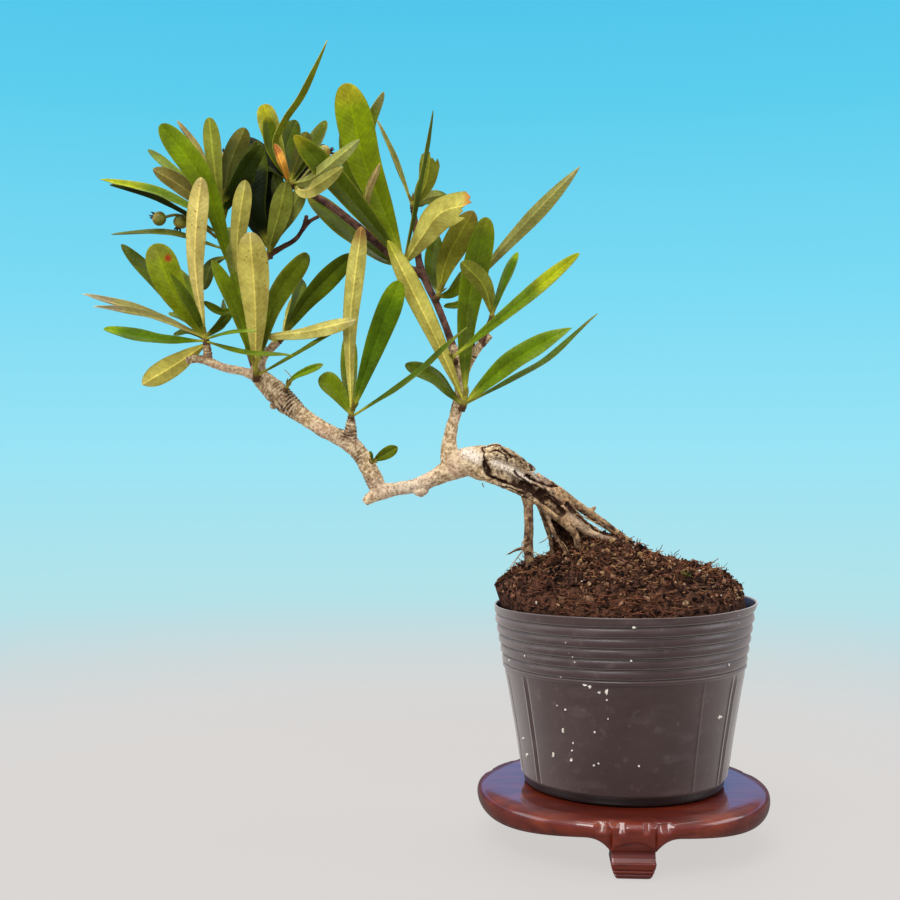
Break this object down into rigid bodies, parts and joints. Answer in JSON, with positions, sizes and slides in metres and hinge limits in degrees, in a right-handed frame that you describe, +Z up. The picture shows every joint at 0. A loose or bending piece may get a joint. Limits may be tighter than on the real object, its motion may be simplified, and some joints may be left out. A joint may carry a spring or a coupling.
{
  "type": "pyracantha bonsai",
  "caption": "Small leaning pyracantha bonsai with exposed roots, in a thin plastic nursery pot on a round lacquered stand with short feet.",
  "frame": {"origin": "on the surface it stands on, under the middle of its outline", "axes": "+Z up, -Y towards the front that the single foot and the tree's face point to, the tree leaning towards -X"},
  "size_m": [0.1962, 0.0818, 0.2264],
  "materials": {
    "lacquered_wood": "red-brown glossy lacquer over fine grain",
    "pot_plastic": "dark grey-brown thin plastic, semi-gloss, a little dusty",
    "soil": "damp peat and bark fibre, matte",
    "bark": "pale tan bark with brown cracks, matte",
    "leaf": "evergreen leaf, satin above, matte and tan below",
    "dry_leaf": "dry curled leaf, matte",
    "fruit": "unripe pome skin, satin"
  },
  "bodies": {
    "root": {"stand": "lacquered_wood", "pot": "pot_plastic", "soil": "soil", "trunk": "bark", "leaves_tip": "leaf", "leaves_front": "leaf", "leaves_stub": "leaf", "leaves_rise": "leaf", "leaves_mid": "leaf", "leaves_crown": "leaf", "leaves_upper": "leaf", "leaves_top": "leaf", "leaves_side": "leaf", "leaves_whorl": "leaf", "leaves_fork": "leaf", "leaves_right": "leaf", "leaves_back": "leaf", "leaves_spur": "leaf", "leaf_low": "leaf", "leaf_knuckle": "leaf", "dry_leaf": "dry_leaf", "fruit_pair": "fruit", "fruit_behind": "fruit", "fruit_crown": "fruit"}
  },
  "joints": []
}
